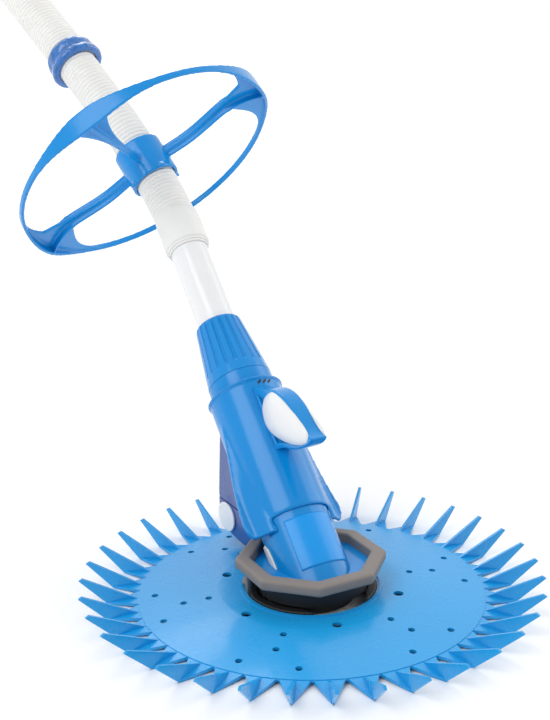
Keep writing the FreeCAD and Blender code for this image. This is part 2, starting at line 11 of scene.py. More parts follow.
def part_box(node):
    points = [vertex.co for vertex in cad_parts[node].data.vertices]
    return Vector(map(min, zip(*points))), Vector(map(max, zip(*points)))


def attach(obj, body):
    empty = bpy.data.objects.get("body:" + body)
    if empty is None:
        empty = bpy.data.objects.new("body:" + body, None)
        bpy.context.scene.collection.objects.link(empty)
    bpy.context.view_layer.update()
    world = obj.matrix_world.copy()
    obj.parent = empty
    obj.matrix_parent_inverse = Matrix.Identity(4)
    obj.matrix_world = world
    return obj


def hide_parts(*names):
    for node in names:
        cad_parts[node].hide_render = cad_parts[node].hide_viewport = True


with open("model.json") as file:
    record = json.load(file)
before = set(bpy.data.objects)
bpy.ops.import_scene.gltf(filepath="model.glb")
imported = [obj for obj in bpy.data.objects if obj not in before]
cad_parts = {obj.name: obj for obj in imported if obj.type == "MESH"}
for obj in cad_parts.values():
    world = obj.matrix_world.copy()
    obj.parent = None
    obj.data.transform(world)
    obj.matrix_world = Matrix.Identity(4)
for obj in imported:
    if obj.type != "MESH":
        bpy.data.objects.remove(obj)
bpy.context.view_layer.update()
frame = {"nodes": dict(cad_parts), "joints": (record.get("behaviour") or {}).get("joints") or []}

bl_info = {
    "name": "Pool Cleaner",
    "version": (1, 0, 0),
    "blender": (4, 5, 0),
    "location": "3D View > Sidebar > Cleaner",
    "description": "Builds the visible pieces and finishes of a suction pool cleaner",
    "category": "Object",
}

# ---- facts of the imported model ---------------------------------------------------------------
nodes = frame["nodes"]
joints = {joint["name"]: joint for joint in frame["joints"]}
WHEEL_CENTRE = Vector(joints["wheel_spin"]["pos_m"])
WHEEL_AXIS = Vector(joints["wheel_spin"]["axis"]).normalized()
CUFF_RIM = Vector(joints["hose_swivel"]["pos_m"])
AXIS_HEIGHT = CUFF_RIM.z - CUFF_RIM.y     # where the head tube's axis crosses y = 0
SQRT2 = math.sqrt(2.0)
MM = 0.001

# the leader hose's route, from inside its lower cuff to its far end
HOSE_ROUTE = [
    (0.0, 0.24572, 0.27322), (0.0, 0.28143, 0.30893), (-0.0108, 0.32173, 0.35203),
    (-0.0308, 0.37293, 0.41023), (-0.0668, 0.48323, 0.50533), (-0.1035, 0.59473, 0.59863)]


# ---- settings --------------------------------------------------------------------------------
def length_setting(name, description, default, low, high):
    return FloatProperty(name=name, description=description, default=default,
                         min=low, max=high, unit="LENGTH", precision=5)


def colour_setting(name, description, default):
    return FloatVectorProperty(name=name, description=description, default=default,
                               min=0.0, max=1.0, size=3, subtype="COLOR")


class CleanerSizes(bpy.types.PropertyGroup):
    """Sizes of what repeats on the cleaner."""
    hose_radius: length_setting("Hose radius", "Over the crests of the ribs", 0.0213, 0.01, 0.03)
    hose_wall: length_setting("Hose wall", "Thickness of the hose's wall", 0.0014, 0.0005, 0.003)
    rib_pitch: length_setting("Rib pitch", "From crest to crest of the hose", 0.0045, 0.002, 0.01)
    rib_depth: length_setting("Rib depth", "Depth of a groove of the hose", 0.0013, 0.0002, 0.003)
    wheel_radius: length_setting("Wheel radius", "Outside of the wheel", 0.1430, 0.08, 0.2)
    wheel_rim: length_setting("Wheel rim", "Thickness of the wheel's rim", 0.0034, 0.001, 0.01)
    crinkle: length_setting("Crinkle", "Depth of the dents in the weight", 0.0007, 0.0, 0.002)


class CleanerColours(bpy.types.PropertyGroup):
    """Colours of the cleaner's materials."""
    shell: colour_setting("Shell", "Blue plastic of the head, nut and wheel", (0.002, 0.265, 0.69))
    disc: colour_setting("Disc", "Lighter blue of the finned disc", (0.012, 0.350, 0.76))
    # Painted shade: the shell's blue made deeper for the rear fairing and heel, which lie in shadow
    # under the tube; they are the same plastic as the shell.
    shade: colour_setting("Rear", "Deep blue of the rear fairing", (0.003, 0.060, 0.29))
    weight: colour_setting("Weight", "Dipped coat of the hose weight", (0.012, 0.14, 0.45))
    pad: colour_setting("Foot pad", "Warm grey rubber", (0.245, 0.215, 0.195))
    white: colour_setting("White", "White plastic of the pipe and pads", (0.86, 0.86, 0.85))
    hose: colour_setting("Hose", "Warm white plastic of the hose", (0.88, 0.865, 0.82))
    # Black rubber and painted ballast; the same black is also painted shade on the foot pad's lower
    # front, in the collar slots and in the recess at the front of the foot pad.
    dark: colour_setting("Dark", "Black rubber and painted ballast", (0.012, 0.012, 0.014))


def sizes():
    return bpy.context.scene.cleaner_sizes


def colours():
    return bpy.context.scene.cleaner_colours


# ---- shader maths ----------------------------------------------------------------------------
class Signal:
    """A shader socket that takes part in arithmetic."""

    def __init__(self, graph, socket):
        self.graph = graph
        self.socket = socket

    def _math(self, operation, first, second=0.0):
        node = self.graph.add("ShaderNodeMath", {"operation": operation}, {0: first, 1: second})
        return Signal(self.graph, node.outputs[0])

    def __add__(self, other):
        return self._math("ADD", self, other)

    def __sub__(self, other):
        return self._math("SUBTRACT", self, other)

    def __rsub__(self, other):
        return self._math("SUBTRACT", other, self)

    def __mul__(self, other):
        return self._math("MULTIPLY", self, other)

    def __pow__(self, other):
        return self._math("POWER", self, other)

    __radd__ = __add__
    __rmul__ = __mul__

    def clamped(self):
        return self._math("MAXIMUM", self._math("MINIMUM", self, 1.0), 0.0)


class Graph:
    """Builds the node tree of one material, or of the world."""

    def __init__(self, name, world=False):
        self.owner = (bpy.data.worlds if world else bpy.data.materials).new(name)
        self.owner.use_nodes = True
        self.tree = self.owner.node_tree
        self.shader = self.tree.nodes["Background" if world else "Principled BSDF"]

    def add(self, kind, settings, values):
        node = self.tree.nodes.new(kind)
        for key, value in settings.items():
            if key == "stops":
                ramp = node.color_ramp
                ramp.elements[0].position, ramp.elements[0].color = value[0]
                ramp.elements[1].position, ramp.elements[1].color = value[-1]
                for place, colour in value[1:-1]:
                    ramp.elements.new(place).color = colour
            else:
                setattr(node, key, value)
        for key, value in values.items():
            self.feed(node.inputs[key], value)
        return node

    def feed(self, socket, value):
        if isinstance(value, Signal):
            self.tree.links.new(value.socket, socket)
        else:
            socket.default_value = value

    def place(self, space="Object"):
        return Signal(self, self.add("ShaderNodeTexCoord", {}, {}).outputs[space])

    def noise(self, scale, detail=3.0, roughness=0.5, stretch=None):
        vector = self.place()
        if stretch:
            node = self.add("ShaderNodeMapping", {}, {"Vector": vector, "Scale": stretch})
            vector = Signal(self, node.outputs[0])
        node = self.add("ShaderNodeTexNoise", {}, {
            "Vector": vector, "Scale": scale, "Detail": detail, "Roughness": roughness})
        return Signal(self, node.outputs["Fac"])

    def blend_colours(self, amount, first, second):
        node = self.add("ShaderNodeMix", {"data_type": "RGBA"},
                        {0: amount, 6: (*first, 1.0), 7: (*second, 1.0)})
        return Signal(self, node.outputs[2])

    def bump(self, height, distance):
        node = self.add("ShaderNodeBump", {},
                        {"Height": height, "Distance": distance, "Strength": 1.0})
        return Signal(self, node.outputs[0])

    def finish(self, **values):
        for key, value in values.items():
            self.feed(self.shader.inputs[key.replace("_", " ")], value)
        return self.owner


def darker(colour, share):
    """A colour times a share; over 1 it comes out lighter."""
    return tuple(min(1.0, channel * share) for channel in colour)


def gloss_plastic(name, colour, roughness=0.20, coat=0.10, mottle=0.92, orange_peel=0.00004):
    """Injection-moulded plastic: faint flow marks in its colour and a slight orange peel."""
    graph = Graph(name)
    flow = graph.noise(14.0, 2.0)
    fine = graph.noise(420.0, 2.0)
    scuff = graph.noise(60.0, 5.0, 0.65, (1.0, 1.0, 0.35))
    tint = graph.blend_colours(flow, darker(colour, mottle), colour)
    dull = (scuff ** 3.0) * 0.08 + roughness
    return graph.finish(Base_Color=tint, Roughness=dull, Coat_Weight=coat, Coat_Roughness=0.08,
                        IOR=1.42, Normal=graph.bump(fine, orange_peel))


def rubber(name, colour, roughness=0.62):
    """Moulded rubber with a fine grain."""
    graph = Graph(name)
    patch = graph.noise(30.0, 3.0)
    grain = graph.noise(900.0, 3.0, 0.7)
    tint = graph.blend_colours(patch, darker(colour, 0.86), colour)
    return graph.finish(Base_Color=tint, Roughness=patch * 0.14 + (roughness - 0.07),
                        Normal=graph.bump(grain, 0.00008))


def hose_plastic(name, colour):
    """Blown hose plastic: soft sheen and faint clouds in its colour."""
    graph = Graph(name)
    cloud = graph.noise(22.0, 3.0)
    grain = graph.noise(500.0, 2.0)
    tint = graph.blend_colours(cloud, darker(colour, 0.93), colour)
    return graph.finish(Base_Color=tint, Roughness=cloud * 0.12 + 0.36,
                        Coat_Weight=0.08, Coat_Roughness=0.3, Subsurface_Weight=0.08,
                        Subsurface_Radius=(0.004, 0.003, 0.002), Subsurface_Scale=1.0,
                        Normal=graph.bump(grain, 0.00003))


def dipped_coat(name, colour):
    """Thick glossy vinyl coat over a rough casting."""
    graph = Graph(name)
    lumps = graph.noise(120.0, 4.0, 0.6)
    pits = graph.noise(380.0, 3.0, 0.6)
    tint = graph.blend_colours(lumps, darker(colour, 0.55), darker(colour, 1.5))
    return graph.finish(Base_Color=tint, Roughness=lumps * 0.16 + 0.12,
                        Coat_Weight=0.8, Coat_Roughness=0.06,
                        Normal=graph.bump(lumps * 0.7 + pits * 0.3, 0.0012))


def cast_metal(name, colour, metallic):
    """Pitted casting, bare or painted."""
    graph = Graph(name)
    pits = graph.noise(240.0, 4.0, 0.65)
    tint = graph.blend_colours(pits, darker(colour, 0.7), colour)
    return graph.finish(Base_Color=tint, Roughness=pits * 0.2 + 0.4, Metallic=metallic,
                        Normal=graph.bump(pits, 0.0002))


finishes = {}


def make_finishes():
    """One material for each kind of surface, under a short name."""
    c = colours()
    finishes["shell"] = gloss_plastic("shell_blue", c.shell)
    finishes["label"] = gloss_plastic("label_film", darker(c.shell, 1.25), roughness=0.3)
    finishes["disc"] = gloss_plastic("disc_blue", c.disc, roughness=0.26, coat=0.25, mottle=0.94)
    # Painted shade: the shadowed rear fairing and heel get a deeper blue than the shell.
    finishes["rear"] = gloss_plastic("rear_blue_painted_shade", c.shade, roughness=0.25, coat=0.35)
    finishes["white"] = gloss_plastic("pipe_white", c.white, coat=0.3, mottle=0.97)
    finishes["grey"] = gloss_plastic("inner_grey", (0.35, 0.36, 0.37), roughness=0.45, coat=0.0)
    finishes["pad"] = rubber("pad_rubber", c.pad)
    # This black is also painted shade on the foot pad's lower front, in the collar slots and in the
    # recess at the front of the foot pad.
    finishes["black"] = rubber("black_rubber_and_painted_shade", c.dark, roughness=0.5)
    finishes["hose"] = hose_plastic("hose_white", c.hose)
    finishes["weight"] = dipped_coat("weight_coat", c.weight)
    # The ballast's black is partly painted shade: it darkens the shadowed recess at the front of the
    # foot pad.
    finishes["ballast"] = cast_metal("ballast_black_and_painted_shade", c.dark, metallic=0.0)
    finishes["steel"] = cast_metal("screw_steel", (0.55, 0.56, 0.57), metallic=1.0)


FINISH_NODES = {
    "shell": ("base_plate", "body_shell", "cowl", "hood", "hand_nut", "deflector_wheel"),
    "white": ("nose_pad_left", "nose_pad_right", "hood_pad_left", "hood_pad_right",
              "heel_oval_left", "heel_oval_right", "inner_pipe", "outer_pipe"),
    # rear: the shell's plastic in a deeper blue, as painted shade
    "rear": ("rear_fairing", "rear_heel"),
    "grey": ("cassette_housing", "retaining_ring", "compression_ring", "hub_clips"),
    # black: inlet_throat is black rubber that also darkens the shadowed recess at the front of the
    # foot pad, partly painted shade
    "black": ("inlet_throat", "diaphragm", "neck_seal"),
    "hose": ("lower_cuff", "leader_hose", "upper_cuff"),
    # ballast: ballast_ring is painted black, and its black is also painted shade in that recess
    "ballast": ("ballast_ring", "weight_core"),
    "disc": ("finned_disc",), "pad": ("foot_pad",), "steel": ("base_screws",),
    "weight": ("weight_cover",)}


def dress(piece, finish):
    piece.data.materials.clear()
    piece.data.materials.append(finishes[finish])


# ---- mesh helpers ----------------------------------------------------------------------------
def new_piece(name, mesh):
    piece = bpy.data.objects.new(name, mesh)
    bpy.context.scene.collection.objects.link(piece)
    return piece


def evaluated_copy(piece, name):
    """Plain mesh of a piece with its modifiers applied; the source is removed."""
    bpy.context.view_layer.update()
    graph = bpy.context.evaluated_depsgraph_get()
    mesh = bpy.data.meshes.new_from_object(piece.evaluated_get(graph), depsgraph=graph)
    mesh.name = name
    bpy.data.objects.remove(piece)
    return new_piece(name, mesh)


def smooth_by_angle(mesh, degrees):
    mesh.shade_smooth()
    mesh.set_sharp_from_angle(angle=math.radians(degrees))


def from_bmesh(mesh, name):
    """Mesh data from a bmesh, with its faces turned outwards."""
    bmesh.ops.recalc_face_normals(mesh, faces=mesh.faces)
    data = bpy.data.meshes.new(name)
    mesh.to_mesh(data)
    mesh.free()
    return data


def bridge(mesh, here, there):
    """Band of faces between two closed rows of vertices."""
    for i in range(len(here)):
        j = (i + 1) % len(here)
        mesh.faces.new((here[i], there[i], there[j], here[j]))


def upright(point, axis):
    """Matrix that stands local Z along an axis at a point, by the shortest turn."""
    turn = Vector((0, 0, 1)).rotation_difference(axis)
    return Matrix.Translation(point) @ turn.to_matrix().to_4x4()


def lathe(name, outline, segments):
    """Closed solid of revolution about Z from a closed (radius, height) outline."""
    mesh = bmesh.new()
    rings = []
    for k in range(segments):
        a = 2 * math.pi * k / segments
        rings.append([mesh.verts.new((r * math.cos(a), r * math.sin(a), z)) for r, z in outline])
    for k in range(segments):
        bridge(mesh, rings[k], rings[(k + 1) % segments])
    return from_bmesh(mesh, name)


def on_tube(x, n, t):
    """Place at x, at height n over the head tube's axis, at distance t along it."""
    return Vector((x, (t - n) / SQRT2, AXIS_HEIGHT + (t + n) / SQRT2))


def round_tube(radius, angle, t):
    """Place at a radius and an angle round the head tube's axis, at distance t along it."""
    return on_tube(radius * math.sin(angle), radius * math.cos(angle), t)


def tube_parts(place):
    """Height over the head tube's axis and distance along it."""
    up = place.z - AXIS_HEIGHT
    return (up - place.y) / SQRT2, (up + place.y) / SQRT2


def smoothstep(low, high, value):
    """0 at low, 1 at high, with a soft start and end."""
    share = min(1.0, max(0.0, (value - low) / (high - low)))
    return share * share * (3 - 2 * share)


def swept_wing(place):
    """The cowl's wings lean out and back towards their lower ends."""
    root, tip, inner, outer = 0.165, 0.055, 0.030, 0.042
    spread, sweep = 0.002, 0.014
    n, t = tube_parts(place)
    share = smoothstep(root, tip, t) * smoothstep(inner, outer, abs(place.x))
    return on_tube(place.x + math.copysign(spread, place.x) * share, n - sweep * share, t)


def softened(piece, name, voxel, rounds):
    """Smoothed voxel skin over a piece, for a moulding's soft corners; the source is removed."""
    skin = piece.modifiers.new("Skin", "REMESH")
    skin.mode = "VOXEL"
    skin.voxel_size = voxel
    skin.use_smooth_shade = True
    soften = piece.modifiers.new("Soften", "SMOOTH")
    soften.factor = 0.5
    soften.iterations = rounds
    return evaluated_copy(piece, name)


def moulded(node, name, voxel, rounds, body, finish, reshape=None):
    """Copy of a CAD node with its corners and joins softened as a moulding's are."""
    source = nodes[node].data.copy()
    mesh = bmesh.new()
    mesh.from_mesh(source)
    bmesh.ops.remove_doubles(mesh, verts=mesh.verts, dist=1e-5)
    mesh.to_mesh(source)
    mesh.free()
    piece = softened(new_piece(name + "_source", source), name, voxel, rounds)
    if reshape:
        for vertex in piece.data.vertices:
            vertex.co = reshape(vertex.co)
    dress(piece, finish)
    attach(piece, body)
    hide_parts(node)
    return piece


def strip(mesh, stations, closed):
    """Solid through a row of four-cornered sections."""
    rows = [[mesh.verts.new(corner) for corner in section] for section in stations]
    pairs = list(zip(rows, rows[1:]))
    if closed:
        pairs.append((rows[-1], rows[0]))
    else:
        mesh.faces.new(rows[0])
        mesh.faces.new(rows[-1])
    for here, there in pairs:
        bridge(mesh, here, there)


def smooth_loop(points, per_side):
    """Closed smooth line through points (Catmull-Rom)."""
    line = []
    count = len(points)
    for i in range(count):
        a, b, c, d = (Vector(points[(i + k) % count]) for k in (-1, 0, 1, 2))
        for k in range(per_side):
            u = k / per_side
            line.append(0.5 * (2 * b + (c - a) * u + (2 * a - 5 * b + 4 * c - d) * u ** 2
                               + (3 * b - 3 * c + d - a) * u ** 3))
    return line


# ---- geometry nodes --------------------------------------------------------------------------
class Recipe:
    """Builds one geometry node tree with named inputs."""

    def __init__(self, name):
        self.tree = bpy.data.node_groups.new(name, "GeometryNodeTree")
        for way in ("INPUT", "OUTPUT"):
            self.tree.interface.new_socket("Geometry", in_out=way, socket_type="NodeSocketGeometry")
        self.entry = self.tree.nodes.new("NodeGroupInput")
        self.result = self.tree.nodes.new("NodeGroupOutput")

    def input(self, name, kind, default=None):
        socket = self.tree.interface.new_socket(name, in_out="INPUT", socket_type=kind)
        if default is not None:
            socket.default_value = default
        return self.entry.outputs[name]

    def add(self, kind, settings, values):
        node = self.tree.nodes.new(kind)
        for key, value in settings.items():
            setattr(node, key, value)
        for key, value in values.items():
            if isinstance(value, bpy.types.NodeSocket):
                self.tree.links.new(value, node.inputs[key])
            else:
                node.inputs[key].default_value = value
        return node

    def math(self, operation, first, second=0.0):
        node = self.add("ShaderNodeMath", {"operation": operation}, {0: first, 1: second})
        return node.outputs[0]

    def finish(self, geometry, material):
        done = self.add("GeometryNodeSetMaterial", {}, {"Geometry": geometry, "Material": material})
        self.tree.links.new(done.outputs[0], self.result.inputs[0])
        return self.tree


def run_recipe(piece, tree, values):
    """Put a tree on a piece as a modifier, setting its inputs by their identifiers."""
    modifier = piece.modifiers.new("Recipe", "NODES")
    modifier.node_group = tree
    for item in tree.interface.items_tree:
        if item.in_out == "INPUT" and item.name in values:
            modifier[item.identifier] = values[item.name]


def ribbed_tube_recipe():
    """A tube along a curve, with smooth crests and narrow grooves at an even pitch."""
    recipe = Recipe("ribbed_tube")
    radius = recipe.input("Radius", "NodeSocketFloat", 0.02)
    pitch = recipe.input("Pitch", "NodeSocketFloat", 0.0045)
    depth = recipe.input("Depth", "NodeSocketFloat", 0.001)
    steps = recipe.input("Steps per rib", "NodeSocketFloat", 8.0)
    material = recipe.input("Material", "NodeSocketMaterial")
    step = recipe.math("DIVIDE", pitch, steps)
    fine = recipe.add("GeometryNodeResampleCurve", {"mode": "LENGTH"},
                      {"Curve": recipe.entry.outputs["Geometry"], "Length": step}).outputs[0]
    along = recipe.add("GeometryNodeSplineParameter", {}, {}).outputs["Length"]
    phase = recipe.math("MULTIPLY", recipe.math("DIVIDE", along, pitch), 2 * math.pi)
    wave = recipe.math("ADD", recipe.math("MULTIPLY", recipe.math("COSINE", phase), 0.5), 0.5)
    groove = recipe.math("POWER", wave, 2.2)
    local = recipe.math("SUBTRACT", radius, recipe.math("MULTIPLY", groove, depth))
    circle = recipe.add("GeometryNodeCurvePrimitiveCircle", {},
                        {"Resolution": 48, "Radius": 1.0}).outputs[0]
    tube = recipe.add("GeometryNodeCurveToMesh", {},
                      {"Curve": fine, "Profile Curve": circle, "Scale": local}).outputs[0]
    round_off = recipe.add("GeometryNodeSetShadeSmooth", {}, {"Geometry": tube}).outputs[0]
    return recipe.finish(round_off, material)


# ---- operators -------------------------------------------------------------------------------
class PieceOperator(bpy.types.Operator):
    """Base of the operators that build one piece or one group of like pieces."""
    bl_options = {"REGISTER", "UNDO"}

    def execute(self, context):
        self.build()
        return {"FINISHED"}


class CLEANER_OT_finishes(PieceOperator):
    """Make every finish and dress the carried-over pieces"""
    bl_idname = "cleaner.finishes"
    bl_label = "Finishes"

    def build(self):
        make_finishes()
        for finish, names in FINISH_NODES.items():
            for name in names:
                dress(nodes[name], finish)


class CLEANER_OT_hose(PieceOperator):
    """Ribbed leader hose on one smooth line"""
    bl_idname = "cleaner.hose"
    bl_label = "Leader hose"

    def build(self):
        s = sizes()
        line = bpy.data.curves.new("hose_line", "CURVE")
        line.dimensions = "3D"
        line.resolution_u = 24
        spline = line.splines.new("NURBS")
        spline.points.add(len(HOSE_ROUTE) - 1)
        for point, place in zip(spline.points, HOSE_ROUTE):
            point.co = (*place, 1.0)
        spline.order_u = 3
        spline.use_endpoint_u = True
        centre = new_piece("hose_line", line)
        bpy.context.view_layer.update()
        graph = bpy.context.evaluated_depsgraph_get()
        trace = bpy.data.meshes.new_from_object(centre.evaluated_get(graph))
        run_recipe(centre, ribbed_tube_recipe(), {
            "Radius": s.hose_radius, "Pitch": s.rib_pitch, "Depth": s.rib_depth,
            "Material": finishes["hose"]})
        hose = evaluated_copy(centre, "ribbed_hose")
        wall = hose.modifiers.new("Wall", "SOLIDIFY")
        wall.thickness = s.hose_wall
        wall.offset = -1.0
        hose = evaluated_copy(hose, "ribbed_hose")
        dress(hose, "hose")
        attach(hose, "hose")
        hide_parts("leader_hose")


class CLEANER_OT_weight(PieceOperator):
    """Dented, glossy weight on the hose"""
    bl_idname = "cleaner.weight"
    bl_label = "Hose weight"

    def build(self):
        low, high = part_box("weight_cover")
        centre = (low + high) / 2
        along_hose = (Vector(HOSE_ROUTE[4]) - Vector(HOSE_ROUTE[3])).normalized()
        bore, half = 21.9, 12.0                     # mm, as the outline is: two bulges with a waist
        outside = [(26.5, -12.0), (28.8, -11.2), (29.8, -9.2), (29.9, -7.4), (29.2, -5.6),
                   (28.0, -4.2), (27.6, -2.0), (27.9, 1.0), (28.2, 3.5), (27.8, 6.5), (26.8, 9.0),
                   (25.2, 11.0), (24.0, 12.0)]
        ends = [(bore, 1 - half), (bore + 1, -half)], [(bore + 1, half), (bore, half - 1)]
        outline = ends[0] + outside + ends[1]
        mesh = lathe("hose_weight", [(r * MM, z * MM) for r, z in outline], 96)
        piece = new_piece("hose_weight_source", mesh)
        level = piece.modifiers.new("Round", "SUBSURF")
        level.levels = level.render_levels = 2
        piece = evaluated_copy(piece, "hose_weight")
        crinkle = sizes().crinkle
        broad, fine = 95.0, 210.0                   # dents to the metre
        for vertex in piece.data.vertices:
            co = vertex.co
            flat = math.hypot(co.x, co.y)
            if flat > (bore + 3) * MM:
                dent = noise.noise(co * broad) * 0.7 + noise.noise(co * fine) * 0.3
                ridge = -abs(dent) * 2.0 * crinkle
                co.x += co.x / flat * ridge
                co.y += co.y / flat * ridge
        piece.data.transform(upright(centre, along_hose))
        piece.data.shade_smooth()
        dress(piece, "weight")
        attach(piece, "hose")
        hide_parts("weight_cover")


class CLEANER_OT_wheel(PieceOperator):
    """Deflector wheel with flared spokes"""
    bl_idname = "cleaner.wheel"
    bl_label = "Deflector wheel"
    spokes = (142, 232, 322)
    open_side = {142: -1, 322: 1}       # which way the undivided half lies from a side spoke
    hub_radius, hub_bore, hub_half = 0.0256, 0.0221, 0.021
    rim_half, rim_swell, swell_spread = 0.003, 0.0078, 20
    web_half, web_base = 0.0016, 0.003
    web_open, web_open_spread = 0.037, 21
    web_side, web_side_spread = 0.018, 14
    bar_half, bar_flare, bar_thickness = 0.0036, 0.022, 0.0017
    rib_half, rib_height, rib_rise = 0.0014, 0.0070, 0.0015
    rib_lean = 0.018                    # of a side spoke's rib to the open side, at the rim
    wave = 0.0035                       # how far the side spokes wander off a straight line
    gusset_half, gusset_tip, gusset_height, gusset_reach = 0.004, 0.001, 0.008, 0.004

    def from_spoke(self, degrees):
        """Angle to the nearest spoke, and whether it lies in the undivided half."""
        turns = {spoke: (degrees - spoke + 180) % 360 - 180 for spoke in self.spokes}
        nearest = min(turns, key=lambda spoke: abs(turns[spoke]))
        away = turns[nearest]
        return abs(away), away * self.open_side.get(nearest, 0) > 0

    def ring(self, mesh, inner, outer, half):
        """Closed ring; its inside radius and half width depend on the place among the spokes."""
        sections = []
        for degrees in range(360):
            place = self.from_spoke(degrees)
            a = math.radians(degrees)
            r, h = inner(place), half(place)
            sections.append([(reach * math.cos(a), reach * math.sin(a), z)
                             for reach, z in ((r, -h), (outer, -h), (outer, h), (r, h))])
        strip(mesh, sections, True)

    def spoke(self, mesh, degrees, half_width, low, high, reach, lean=0.0):
        """Bar from the hub outwards; its section depends on the share of the way.

        A side spoke waves in the wheel's plane, and can lean to the undivided half at the rim.
        """
        along = Vector((math.cos(math.radians(degrees)), math.sin(math.radians(degrees)), 0))
        across = Vector((-along.y, along.x, 0))
        start, lean_start, steps = self.hub_bore + 0.002, 0.6, 28
        sections = []
        for k in range(steps + 1):
            share = k / steps
            leaning = max(0.0, (share - lean_start) / (1 - lean_start)) ** 2
            sway = self.wave * math.sin(2 * math.pi * share) + lean * leaning
            middle = along * (start + share * (reach - start))
            middle += across * self.open_side.get(degrees, 0) * sway
            w, lo, hi = half_width(share), low(share), high(share)
            sections.append([middle + across * side + Vector((0, 0, z))
                             for side, z in ((-w, lo), (w, lo), (w, hi), (-w, hi))])
        strip(mesh, sections, False)

    def rim_width(self, place):
        return self.rim_half + self.rim_swell * math.exp(-(place[0] / self.swell_spread) ** 2)

    def web_reach(self, place):
        away, in_open_half = place
        if in_open_half:
            return self.web_open * math.exp(-(away / self.web_open_spread) ** 2)
        return self.web_side * math.exp(-(away / self.web_side_spread) ** 2)

    def flat_bar(self, mesh, degrees, reach):
        self.spoke(mesh, degrees, lambda u: self.bar_half + self.bar_flare * u ** 3.5,
                   lambda u: -self.bar_thickness, lambda u: self.bar_thickness, reach)

    def upright_rib(self, mesh, degrees, reach):
        self.spoke(mesh, degrees, lambda u: self.rib_half,
                   lambda u: -self.rib_height - self.rib_rise * u,
                   lambda u: self.rib_height + self.rib_rise * u, reach, self.rib_lean)

    def hub_gusset(self, mesh, degrees):
        floor = -self.hub_half
        self.spoke(mesh, degrees, lambda u: self.gusset_half * (1 - u) + self.gusset_tip,
                   lambda u: floor, lambda u: floor + self.gusset_height * (1 - u),
                   self.hub_radius + self.gusset_reach)

    def build(self):
        s = sizes()
        rim = s.wheel_radius
        mesh = bmesh.new()
        self.ring(mesh, lambda place: rim - s.wheel_rim, rim, self.rim_width)
        self.ring(mesh, lambda place: rim - self.web_base - self.web_reach(place), rim - 0.001,
                  lambda place: self.web_half)
        self.ring(mesh, lambda place: self.hub_bore, self.hub_radius, lambda place: self.hub_half)
        for degrees in self.spokes:
            self.flat_bar(mesh, degrees, rim - 0.002)
            self.upright_rib(mesh, degrees, rim - (0.004 if degrees in self.open_side else 0.002))
            for side in (-1, 1):
                self.hub_gusset(mesh, degrees + side * 45)
        wheel = new_piece("wheel_source", from_bmesh(mesh, "wheel"))
        wheel = softened(wheel, "wheel_moulding", 0.0010, 5)
        wheel.data.transform(upright(WHEEL_CENTRE, WHEEL_AXIS))
        wheel.data.shade_smooth()
        dress(wheel, "shell")
        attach(wheel, "wheel")
        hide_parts("deflector_wheel")


class CLEANER_OT_nut(PieceOperator):
    """Hand nut with flat ribs that stop above a plain band"""
    bl_idname = "cleaner.nut"
    bl_label = "Hand nut"
    ribs = 20
    low, band, high = 0.1902, 0.1995, 0.2560        # lower end, top of the plain band, upper end
    base, top, round_off = 0.0310, 0.0224, 0.0035   # radius at either end, and of the upper edge
    groove_depth, groove_run_out, crown = 0.0015, 0.003, 0.00015

    def outside(self, t, a):
        """Radius at a distance along the tube and an angle round it."""
        r = self.base + (self.top - self.base) * (t - self.low) / (self.high - self.low)
        over = max(0.0, t - (self.high - self.round_off)) / self.round_off
        r -= self.round_off * 0.8 * (1 - math.sqrt(max(0.0, 1 - over * over)))
        wave = 0.5 + 0.5 * math.cos(self.ribs * a)
        groove = smoothstep(0.62, 0.97, wave)
        groove *= smoothstep(self.band, self.band + self.groove_run_out, t)
        return r - self.groove_depth * groove - self.crown * (1 - wave)

    def build(self):
        rows, columns = 60, 400
        angles = [2 * math.pi * k / columns for k in range(columns)]
        bore = ((self.high, 0.0196), (self.high - 0.004, 0.0196),
                (self.low + 0.012, 0.0262), (self.low, 0.0290))     # distance along the tube, radius
        outer = [self.low + (self.high - self.low) * i / rows for i in range(rows + 1)]
        rings = ([(t, [self.outside(t, a) for a in angles]) for t in outer]
                 + [(t, [r] * columns) for t, r in bore])
        mesh = bmesh.new()
        grid = [[mesh.verts.new(round_tube(r, a, t)) for r, a in zip(reach, angles)]
                for t, reach in rings]
        for here, there in zip(grid, grid[1:] + grid[:1]):
            bridge(mesh, here, there)
        data = from_bmesh(mesh, "nut_moulding")
        smooth_by_angle(data, 40)
        piece = new_piece("nut_moulding", data)
        dress(piece, "shell")
        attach(piece, "nut")
        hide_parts("hand_nut")


class CLEANER_OT_shells(PieceOperator):
    """Cowl, hood, rear fairing and heel with softened corners"""
    bl_idname = "cleaner.shells"
    bl_label = "Head shells"

    def build(self):
        moulded("cowl", "cowl_moulding", 0.0010, 6, "head", "shell", swept_wing)
        moulded("hood", "hood_moulding", 0.0009, 6, "head", "shell")
        moulded("rear_fairing", "rear_moulding", 0.0010, 5, "head", "rear")
        moulded("rear_heel", "heel_moulding", 0.0010, 5, "head", "rear")


